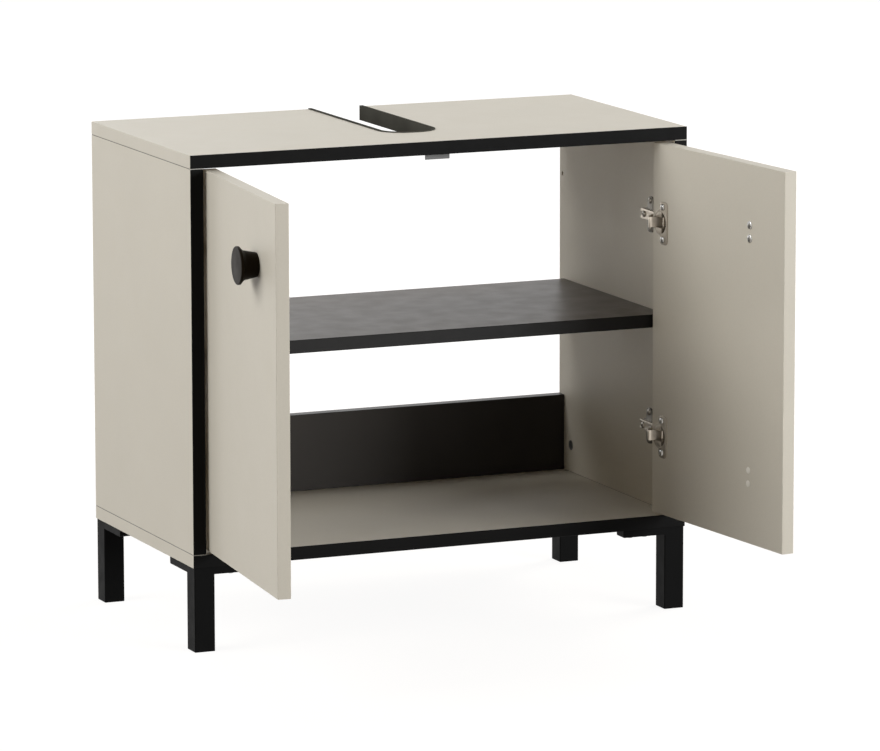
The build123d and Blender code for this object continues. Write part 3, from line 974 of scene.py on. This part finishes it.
@dataclass
class Knob:
    """Turned knob: a tapered neck that flares to a slightly domed face with a round rim."""

    x: float = -73.4
    z: float = 462.5
    door_face: float = -6.5
    foot: float = 13.4
    neck: float = 16.0
    face: float = 20.7
    neck_length: float = 14.0
    flare_end: float = 19.6
    rim_top: float = 22.4
    length: float = 23.3
    rim_round: float = 0.9
    foot_round: float = 0.9
    flare_power: float = 1.5
    flare_steps: int = 12
    crown_steps: int = 16
    steps: int = 128

    def form(self) -> Form:
        """Turn the knob on its axis, from the door outwards."""
        foot = arc((self.foot - self.foot_round, self.foot_round), self.foot_round, -90, -4, 8)
        widening, rise = self.face - self.neck, self.flare_end - self.neck_length
        flare = [
            (self.neck + widening * share**self.flare_power, self.neck_length + rise * share)
            for share in (step / self.flare_steps for step in range(self.flare_steps + 1))
        ]
        rim = arc((self.face - self.rim_round, self.rim_top - self.rim_round), self.rim_round, 0, 80, 8)
        edge, lift = rim[-1]
        crown = [
            (edge * (1 - share), lift + (self.length - lift) * (1 - (1 - share) ** 2))
            for share in (step / self.crown_steps for step in range(1, self.crown_steps + 1))
        ]
        return Form.turned([(0.0, 0.0), *foot, *flare, *rim, *crown], self.steps)

    def build(self, places: Places, workshop: Workshop) -> None:
        """Put a knob on each door."""
        for side in Side:
            spot = standing(Face.DOOR_FRONT, (self.x - places.pin.x, self.door_face, self.z))
            workshop.stand_in(self.form(), f"{side.word}_knob", places.swung(side) @ spot)


@dataclass
class DoorFittings:
    """Knob screws and hole caps on the doors' inner faces."""

    knob: Knob
    inner_face: float = 8.5
    spare_height: float = 187.5
    spacing: float = 15.0
    screw: Screw = Screw(9.2, 2.0, 4.0, 27.0)
    cap_radius: float = 3.7
    cap_height: float = 0.9
    stem_radius: float = 2.5
    stem_length: float = 7.0
    tip_share: float = 0.7
    ribs: int = 4
    rib: float = 0.25
    rib_height: float = 1.0
    rib_pitch: float = 1.4
    cap_rim: float = 0.2
    dome_steps: int = 8
    cap_steps: int = 40

    def cap(self) -> Form:
        """Turn a cap: a domed lid over a ribbed stem."""
        stem = [(0.0, -self.stem_length), (self.stem_radius * self.tip_share, -self.stem_length)]
        for ring in range(self.ribs):
            low = -self.stem_length + self.rib_height + self.rib_pitch * ring
            stem += [(self.stem_radius - self.rib, low), (self.stem_radius, low + self.rib_height)]
        stem += [(self.stem_radius, 0.0), (self.cap_radius, 0.0)]
        dome = self.cap_height - self.cap_rim
        lid = [
            (self.cap_radius * math.cos(turn), self.cap_rim + dome * math.sin(turn))
            for turn in (math.radians(90) * step / self.dome_steps for step in range(self.dome_steps))
        ]
        return Form.turned([*stem, *lid, (0.0, self.cap_height)], self.cap_steps)

    def build(self, places: Places, workshop: Workshop) -> None:
        """Put the screws and caps on each door."""
        x = self.knob.x - places.pin.x
        shifts = (-self.spacing / 2, self.spacing / 2)
        spots = {
            height: [standing(Face.DOOR_BACK, (x, self.inner_face, height + shift)) for shift in shifts]
            for height in (self.knob.z, self.spare_height)
        }
        for side in Side:
            place = places.swung(side)
            screws = self.screw.group(spots[self.knob.z])
            workshop.stand_in(screws, f"{side.word}_knob_screws", place)
            caps, cap = Form(), self.cap()
            for spot in spots[self.spare_height]:
                caps.with_copy(cap, spot)
            workshop.stand_in(caps, f"{side.word}_door_hole_caps", place)


@dataclass
class Hinge:
    """Concealed cup hinge: pressed cup, bent arm, mounting plate and their screws."""

    cup_x: float = 8.2
    door_face: float = 8.5
    cup_radius: float = 13.0
    cup_depth: float = 11.1
    wall: float = 0.7
    lip: float = 0.6
    flange_shift: float = 7.0
    flange_size: tuple[float, float, float] = (17.0, 49.0, 5.0)
    rim_height: float = 1.0
    flange_thickness: float = 0.9
    rim_reach: float = 1.3
    rim_round: float = 0.4
    outer_heel: float = 1.5
    inner_heel: float = 1.2
    flange_lap: float = 0.1
    cheek_end: float = 11.0
    cheek_sink: float = 0.35
    cheek_below_rim: float = 0.2
    slot_half: float = 6.1
    cup_screw: Screw = Screw(7.4, 2.0, 3.5, 10.0)
    cup_screw_x: float = 13.7
    cup_screw_shift: float = 18.5
    pin_radius: float = 1.05
    knuckle_radius: float = 1.65
    hook_radius: float = 17.38
    hook_bend: float = 3.2
    root_angle: float = 3.0
    arm_thickness: float = 1.8
    arm_width: float = 11.6
    arm_skirt: float = 2.2
    skirt_thickness: float = 1.2
    edge_round: float = 0.3
    cheek_round: float = 0.35
    plate_round: float = 0.4
    plate_facets: int = 3
    flange_cut: Range = (-1.0, 2.0)
    skirt_lead: float = 4.0
    skirt_lag: float = 1.0
    slot_play: float = 0.4
    cut_margin: float = 9.0
    arm_end: float = 70.5
    arm_bend: float = 2.1
    knuckle_width: float = 11.4
    plate_front: float = 29.5
    plate_half: float = 4.2
    plate_height: float = 4.5
    foot_width: float = 13.0
    foot_height: float = 1.2
    foot_corner: float = 3.0
    wing_place: float = 54.5
    wing_size: tuple[float, float, float] = (14.0, 41.0, 5.0)
    wing_thickness: float = 2.0
    wing_screw: Screw = Screw(7.0, 1.8, 5.0, 11.0)
    wing_screw_shift: float = 16.0
    arm_screw: Screw = Screw(7.5, 2.0, 4.0, 5.0, pitch=0.8, thread_depth=0.3)
    arm_screw_place: float = 61.5
    adjuster: Screw = Screw(5.5, 1.5, 4.0, 3.6, pitch=0.8, thread_depth=0.3)
    adjuster_place: float = 40.5
    hole_steps: int = 24
    knuckle_steps: int = 32
    steps: int = 72

    def cup(self) -> Form:
        """Press the cup: a round bowl with a rolled lip, its flange and the cheeks beside the arm."""
        outer, inner = self.cup_radius, self.cup_radius - self.wall
        top, floor = self.rim_height, -self.cup_depth
        rim = outer + self.rim_reach
        heel, bed = self.outer_heel, self.inner_heel
        profile = [(0.0, floor), *arc((outer - heel, floor + heel), heel, -90, 0, 6)]
        profile += [(outer, 0.0), (rim, 0.0)]
        profile += arc((rim - self.rim_round, top - self.rim_round), self.rim_round, 0, 90, 4)
        profile += arc((inner + self.lip, top - self.lip), self.lip, 90, 180, 6)
        profile += arc((inner - bed, floor + self.wall + bed), bed, 0, -90, 6)
        bowl = Form.turned([*profile, (0.0, floor + self.wall)], self.steps)
        width, height, corner = self.flange_size
        outline = rounded_rectangle((self.flange_shift, 0.0), width, height, corner)
        flange = Form.plate(outline, 0.0, self.flange_thickness).eased(self.edge_round, self.plate_facets)
        flange.joined(Form.rod(outer - self.flange_lap, *self.flange_cut, self.steps), Join.CUT)
        reach = inner + self.cheek_sink
        cheeks = Form.rod(reach, floor + self.cheek_sink, top - self.cheek_below_rim, self.steps)
        far = self.cheek_end - self.cup_x
        side = 2 * outer
        cheeks.joined(Form.block((-side, far), (-side, side), (-side, side)), Join.KEEP)
        slot = Form.block((-side, side), (-self.slot_half, self.slot_half), (-side, side))
        cheeks.joined(slot, Join.CUT).eased(self.cheek_round)
        return bowl.with_copy(flange).with_copy(cheeks)

    def _arm_line(self, face: float) -> Profile:
        """The arm's outer face, from the pin round the door's edge to the end of the tail.

        Args:
            face: where the tail's outer face lies, beside the pin.

        Returns:
            The line's points.
        """
        half = self.arm_thickness / 2
        inside = self.hook_radius - self.hook_bend
        lift = math.degrees(math.asin((self.hook_bend - half) / inside))
        turn = math.radians(self.root_angle + lift)
        centre = (inside * math.cos(turn), inside * math.sin(turn))
        root = math.radians(self.root_angle)
        line = [(math.sin(root) * half, -math.cos(root) * half)]
        line += arc(centre, self.hook_bend, self.root_angle - 90, self.root_angle + lift, 10)
        line += arc((0.0, 0.0), self.hook_radius, self.root_angle + lift, 90, 18)[1:]
        line += arc((face + self.arm_bend, self.hook_radius + self.arm_bend), self.arm_bend, 270, 180, 8)
        return [*line, (face, self.arm_end)]

    def arm(self, side_face: float) -> Form:
        """Bend the arm: a hook, and a tail with skirts beside the plate and an open slot at its end.

        Args:
            side_face: where the side panel's inner face lies, beside the pin.

        Returns:
            The arm.
        """
        face = side_face + self.plate_height + self.arm_thickness
        bent = Form.strip(self._arm_line(face), self.arm_width, self.arm_thickness)
        slot, past = self.arm_screw.shank + self.slot_play, self.cut_margin
        for place in (self.arm_screw_place, self.adjuster_place):
            hole = Form.rod(slot / 2, -past, past, self.hole_steps)
            bent.joined(hole.moved(standing(Face.SIDE, (face, place, 0.0))), Join.CUT)
        beside = (face - past, face + past)
        mouth = Form.block(beside, (self.arm_screw_place, self.arm_end + past), (-slot / 2, slot / 2))
        bent.joined(mouth, Join.CUT).eased(self.edge_round)
        inner = face - self.arm_thickness
        for sign in (-1, 1):
            edge = self.arm_width / 2
            edges = sorted((sign * edge, sign * (edge - self.skirt_thickness)))
            reach = (inner - self.arm_skirt, inner + self.arm_thickness / 2)
            along = (self.plate_front - self.skirt_lead, self.arm_end - self.skirt_lag)
            skirt = Form.block(reach, along, tuple(edges))
            bent.with_copy(skirt.eased(self.cheek_round))
        half = self.knuckle_width / 2
        ring = [(self.pin_radius, -half), (self.knuckle_radius, -half), (self.knuckle_radius, half)]
        ring += [(self.pin_radius, half), (self.pin_radius, -half)]
        return bent.with_copy(Form.turned(ring, self.knuckle_steps))

    def plate(self) -> Form:
        """Press the mounting plate: a raised body on a foot over two rounded wings, Z out of the side."""
        width, height, corner = self.wing_size
        wings = Form.plate(
            rounded_rectangle((self.wing_place, 0.0), width, height, corner), 0.0, self.wing_thickness
        )
        length = self.arm_end - self.plate_front
        middle = (self.plate_front + self.arm_end) / 2
        sole = rounded_rectangle((middle, 0.0), length, self.foot_width, self.foot_corner)
        foot = Form.plate(sole, 0.0, self.foot_height)
        across = (-self.plate_half, self.plate_half)
        body = Form.block((self.plate_front, self.arm_end), across, (0.0, self.plate_height))
        whole = wings.joined(foot, Join.ADD).joined(body, Join.ADD)
        return whole.eased(self.plate_round, self.plate_facets)

    def build(self, places: Places, workshop: Workshop) -> None:
        """Put two hinges on each side, with every screw."""
        side_face, unmoved = places.side_face, Form.UNMOVED
        cup_spot = standing(Face.DOOR_BACK, (self.cup_x, self.door_face, 0.0))
        plate_spot = standing(Face.SIDE, (side_face, 0.0, 0.0))
        plate_screws, arm_screws = [], []
        for side in Side:
            cup_screws = []
            for level in Level:
                rise = Matrix.Translation((0.0, 0.0, places.height(side, level)))
                fixed, swung = places.fixed(side) @ rise, places.swung(side) @ rise
                name = f"{side.word}_{level.value}"
                workshop.stand_in(self.cup(), f"{name}_hinge_cup", swung @ cup_spot)
                workshop.stand_in(self.arm(side_face), f"{name}_hinge_arm", fixed)
                workshop.stand_in(self.plate(), f"{name}_mounting_plate", fixed @ plate_spot)
                flange_top = self.door_face + self.flange_thickness
                wing_top = side_face + self.wing_thickness
                for sign in (-1, 1):
                    on_flange = (self.cup_screw_x, flange_top, sign * self.cup_screw_shift)
                    cup_screws.append(swung @ standing(Face.DOOR_BACK, on_flange))
                    on_wing = (wing_top, self.wing_place, sign * self.wing_screw_shift)
                    plate_screws.append(fixed @ standing(Face.SIDE, on_wing))
                on_arm = side_face + self.plate_height + self.arm_thickness
                rows = ((self.arm_screw, self.arm_screw_place), (self.adjuster, self.adjuster_place))
                for screw, y in rows:
                    arm_screws.append((screw, fixed @ standing(Face.SIDE, (on_arm, y, 0.0))))
            screws = self.cup_screw.group(cup_screws)
            workshop.stand_in(screws, f"{side.word}_hinge_cup_screws", unmoved)
        workshop.stand_in(self.wing_screw.group(plate_screws), "mounting_plate_screws", unmoved)
        both = Form()
        for kind in (self.arm_screw, self.adjuster):
            both.with_copy(kind.group([place for screw, place in arm_screws if screw is kind]))
        workshop.stand_in(both, "arm_fixing_screws", unmoved)


@dataclass(frozen=True)
class Lamp:
    """A square soft lamp: where it hangs, its side in metres and its power in watts."""

    name: str
    place: Point
    side: float
    watts: float
    colour: Colour = (1.0, 1.032, 1.06)

    def hang(self, aim: Point) -> None:
        """Hang the lamp.

        Args:
            aim: the point it faces.
        """
        data = bpy.data.lights.new(self.name, "AREA")
        data.shape = "SQUARE"
        data.size = self.side
        data.energy = self.watts
        data.color = self.colour
        lamp = bpy.data.objects.new(self.name, data)
        away = Vector(aim) - Vector(self.place)
        turn = away.to_track_quat("-Z", "Y").to_matrix().to_4x4()
        lamp.matrix_world = Matrix.Translation(self.place) @ turn
        bpy.context.scene.collection.objects.link(lamp)


LAMPS = (
    Lamp("left_lamp", (-5.0, -1.0, 1.8), 2.4, 108.0),
    Lamp("high_left_lamp", (-3.4, 0.6, 3.2), 2.4, 80.0),
    Lamp("front_lamp", (2.6, -4.6, 1.2), 1.6, 150.0),
    Lamp("front_right_lamp", (3.4, -3.4, 2.0), 1.6, 79.0),
    Lamp("right_lamp", (4.0, 1.6, 2.2), 2.4, 144.0),
    Lamp("back_lamp", (0.0, 3.6, 2.4), 2.4, 19.0),
    Lamp("back_left_lamp", (-2.0, 4.2, 1.0), 1.6, 12.0),
)


@dataclass
class Studio:
    """Floor, white surroundings, soft lamps and the camera at the photograph's angle."""

    camera_from_front: Point = (-2.62048, -6.09125, 1.45064)
    camera_yaw: float = math.radians(23.2447)
    camera_pitch: float = math.radians(9.9218)
    camera_roll: float = math.radians(-0.0894)
    focal_pixels: float = 6025.96
    image_width: int = 880
    sensor_width: float = 36.0
    floor_half: float = 30.0
    floor_albedo: Colour = (0.155, 0.137, 0.118)
    glow: Range = (0.915, 1.0)
    glow_radii: Range = (0.45, 1.7)
    surroundings: float = 1.0
    lamp_aim: Point = (0.0, 0.0, 0.35)
    dome: Colour = (0.020, 0.0155, 0.011)
    clip_end: float = 100.0

    def build_camera(self) -> None:
        """Create the camera and make it the scene's own."""
        data = bpy.data.cameras.new("camera")
        data.sensor_width = self.sensor_width
        data.lens = self.focal_pixels * self.sensor_width / self.image_width
        data.clip_end = self.clip_end
        camera = bpy.data.objects.new("camera", data)
        turn = Matrix.Rotation(-self.camera_yaw, 4, "Z")
        tilt = Matrix.Rotation(math.radians(90) - self.camera_pitch, 4, "X")
        roll = Matrix.Rotation(self.camera_roll, 4, "Z")
        front = Vector((0.0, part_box("top_front_edge_band")[0].y, 0.0))
        place = front + Vector(self.camera_from_front)
        camera.matrix_world = Matrix.Translation(place) @ turn @ tilt @ roll
        bpy.context.scene.collection.objects.link(camera)
        bpy.context.scene.camera = camera

    def build_floor(self) -> None:
        """Lay a pale floor that reads as white and keeps the shadows."""
        shape = bmesh.new()
        bmesh.ops.create_grid(shape, x_segments=1, y_segments=1, size=self.floor_half)
        mesh = bpy.data.meshes.new("studio_floor")
        shape.to_mesh(mesh)
        shape.free()
        floor = bpy.data.objects.new("studio_floor", mesh)
        bpy.context.scene.collection.objects.link(floor)
        graph = Graph.of_material("studio_floor_paint")
        rays = graph.add("LightPath")
        paint = graph.add("BsdfDiffuse", {"Color": (*self.floor_albedo, 1.0)})
        seen = self._seen_directly(graph, rays)
        away = graph.add("VectorMath", {0: graph.place()}, operation="LENGTH")
        radius, ease = away.outputs["Value"], "SMOOTHSTEP"
        rise = graph.carried(radius, self.glow_radii, self.glow, interpolation_type=ease)
        glow = graph.add("Emission", {"Strength": graph.work_out("MULTIPLY", seen, rise)})
        both = graph.add("AddShader", {0: paint.outputs[0], 1: glow.outputs[0]})
        graph.add("OutputMaterial", {"Surface": both.outputs[0]})
        mesh.materials.append(graph.owner)

    @staticmethod
    def _seen_directly(graph: Graph, rays: bpy.types.Node) -> Socket:
        """One for camera, glossy and transmission rays, and nought for the others."""
        camera_or_glossy = graph.work_out(
            "MAXIMUM", rays.outputs["Is Camera Ray"], rays.outputs["Is Glossy Ray"]
        )
        return graph.work_out("MAXIMUM", camera_or_glossy, rays.outputs["Is Transmission Ray"])

    def build_world(self) -> None:
        """Surround the object with white that the camera sees, and light it with the dome."""
        world = bpy.data.worlds.new("studio_world")
        bpy.context.scene.world = world
        graph = Graph(world)
        seen = self._seen_directly(graph, graph.add("LightPath"))
        colour = graph.blend(seen, self.dome, (self.surroundings,) * 3)
        sky = graph.add("Background", {"Color": colour, "Strength": 1.0})
        graph.add("OutputWorld", {"Surface": sky.outputs[0]})

    def build(self) -> None:
        """Set the whole studio up."""
        bpy.context.scene.view_settings.view_transform = "Standard"
        self.build_camera()
        self.build_floor()
        self.build_world()
        for lamp in LAMPS:
            lamp.hang(self.lamp_aim)


def main() -> None:
    """Build the looks of the cabinet round its frame."""
    logging.basicConfig(level=logging.INFO, format="%(message)s")
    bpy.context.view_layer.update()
    Studio().build()
    workshop = Workshop()
    workshop.dress_all()
    places = Places()
    knob = Knob()
    for fittings in (knob, DoorFittings(knob), Hinge()):
        fittings.build(places, workshop)


if __name__ == "__main__":
    main()
